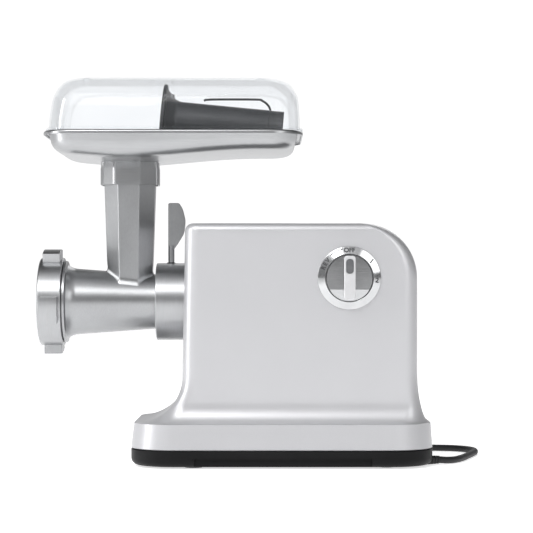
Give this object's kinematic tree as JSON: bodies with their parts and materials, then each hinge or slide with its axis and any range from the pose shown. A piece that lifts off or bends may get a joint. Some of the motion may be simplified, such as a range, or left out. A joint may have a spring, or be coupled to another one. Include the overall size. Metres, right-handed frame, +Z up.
{
  "type": "electric meat grinder",
  "caption": "Electric meat grinder: motor housing on a flared base, cast head with octagonal throat, auger, plate and ring nut, steel tray with clear lid, speed dial and mains lead.",
  "frame": {"origin": "on the table, under the middle of the machine's box without its mains lead", "axes": "-X is the grinding head's outlet, +X the rear where the lead leaves, -Y the side with the speed dial, +Z up"},
  "size_m": [0.4219, 0.2898, 0.3612],
  "materials": {
    "silver_shell": "satin silver lacquer on moulded plastic",
    "black_base": "satin black moulding",
    "rubber": "matt black rubber or PVC",
    "cast_metal": "polished cast aluminium",
    "tray_steel": "polished pressed stainless sheet",
    "steel": "machined steel",
    "chrome": "bright chrome trim",
    "clear_plastic": "clear moulded plastic",
    "dark_plastic": "dark grey moulding",
    "grey_plastic": "satin grey moulding",
    "copper_winding": "enamelled copper",
    "brass": "plain brass or bronze",
    "nylon_gear": "natural nylon"
  },
  "bodies": {
    "housing": {"housing_shell": "silver_shell", "base_pan": "black_base", "foot_1": "rubber", "foot_2": "rubber", "foot_3": "rubber", "foot_4": "rubber", "base_screw_1": "steel", "base_screw_2": "steel", "base_screw_3": "steel", "base_screw_4": "steel", "hub_socket": "cast_metal", "lever_bush": "black_base", "gearbox_frame": "cast_metal", "gearbox_cover": "cast_metal", "dial_bezel": "chrome", "rotary_switch": "grey_plastic", "mains_filter": "grey_plastic", "strain_relief": "rubber", "cord_run": "rubber", "cord_coil": "rubber", "cord_tail": "rubber", "plug_body": "rubber", "plug_pin_1": "brass", "plug_pin_2": "brass", "front_bearing": "brass", "rear_bearing": "brass", "output_bush": "brass", "lay_axle": "steel", "motor_stator": "steel", "field_coil_upper": "copper_winding", "field_coil_lower": "copper_winding", "motor_bracket": "cast_metal", "motor_bolt_1": "steel", "motor_bolt_2": "steel", "brush_holder_1": "brass", "brush_holder_2": "brass"},
    "armature": {"motor_shaft": "steel", "armature_core": "steel", "commutator": "copper_winding", "motor_fan": "grey_plastic"},
    "lay": {"lay_gear": "nylon_gear"},
    "drive": {"output_gear": "nylon_gear", "drive_shaft": "steel"},
    "lever": {"lock_lever": "cast_metal"},
    "dial": {"speed_knob": "grey_plastic", "knob_pointer": "black_base"},
    "head": {"grinder_head": "cast_metal"},
    "auger": {"auger": "cast_metal", "auger_washer": "nylon_gear", "knife": "steel"},
    "plate": {"cutting_plate": "steel"},
    "nut": {"ring_nut": "cast_metal"},
    "tray": {"tray": "tray_steel", "accessory_bail": "dark_plastic", "sausage_horn": "dark_plastic", "small_horn": "dark_plastic"},
    "lid": {"lid": "clear_plastic"}
  },
  "joints": [
    {"name": "armature_spin", "type": "hinge", "parent": "housing", "child": "armature", "pos_m": [0, 0, 0.0815], "axis": [1, 0, 0], "continuous": true},
    {"name": "lay_spin", "type": "hinge", "parent": "housing", "child": "lay", "pos_m": [0, 0, 0.11325], "axis": [1, 0, 0], "continuous": true},
    {"name": "drive_spin", "type": "hinge", "parent": "housing", "child": "drive", "pos_m": [0, 0, 0.151], "axis": [1, 0, 0], "continuous": true},
    {"name": "head_slide", "type": "slide", "parent": "housing", "child": "head", "axis": [-1, 0, 0], "range_m": [0, 0.045]},
    {"name": "auger_spin", "type": "hinge", "parent": "head", "child": "auger", "pos_m": [-0.0485, 0, 0.151], "axis": [1, 0, 0], "continuous": true},
    {"name": "plate_slide", "type": "slide", "parent": "head", "child": "plate", "axis": [-1, 0, 0], "range_m": [0, 0.0181]},
    {"name": "ring_nut_turn", "type": "hinge", "parent": "plate", "child": "nut", "pos_m": [-0.1835, 0, 0.151], "axis": [-1, 0, 0], "range_deg": [0, 1080]},
    {"name": "lever_turn", "type": "hinge", "parent": "housing", "child": "lever", "pos_m": [-0.0599, 0, 0.19], "axis": [0, 0, 1], "range_deg": [0, 170]},
    {"name": "dial_turn", "type": "hinge", "parent": "housing", "child": "dial", "pos_m": [0.1058, -0.075, 0.1729], "axis": [0, 1, 0], "range_deg": [-59, 95]},
    {"name": "tray_lift", "type": "slide", "parent": "head", "child": "tray", "axis": [0, 0, 1], "range_m": [0, 0.06]},
    {"name": "lid_lift", "type": "slide", "parent": "tray", "child": "lid", "axis": [0, 0, 1], "range_m": [0, 0.08]}
  ],
  "couplings": [
    {"joint": "lay_spin", "follows": "armature_spin", "ratio": -0.25},
    {"joint": "drive_spin", "follows": "armature_spin", "ratio": 0.0625},
    {"joint": "auger_spin", "follows": "armature_spin", "ratio": 0.0625},
    {"joint": "plate_slide", "follows": "ring_nut_turn", "m_per_rad": 0.00095493}
  ]
}
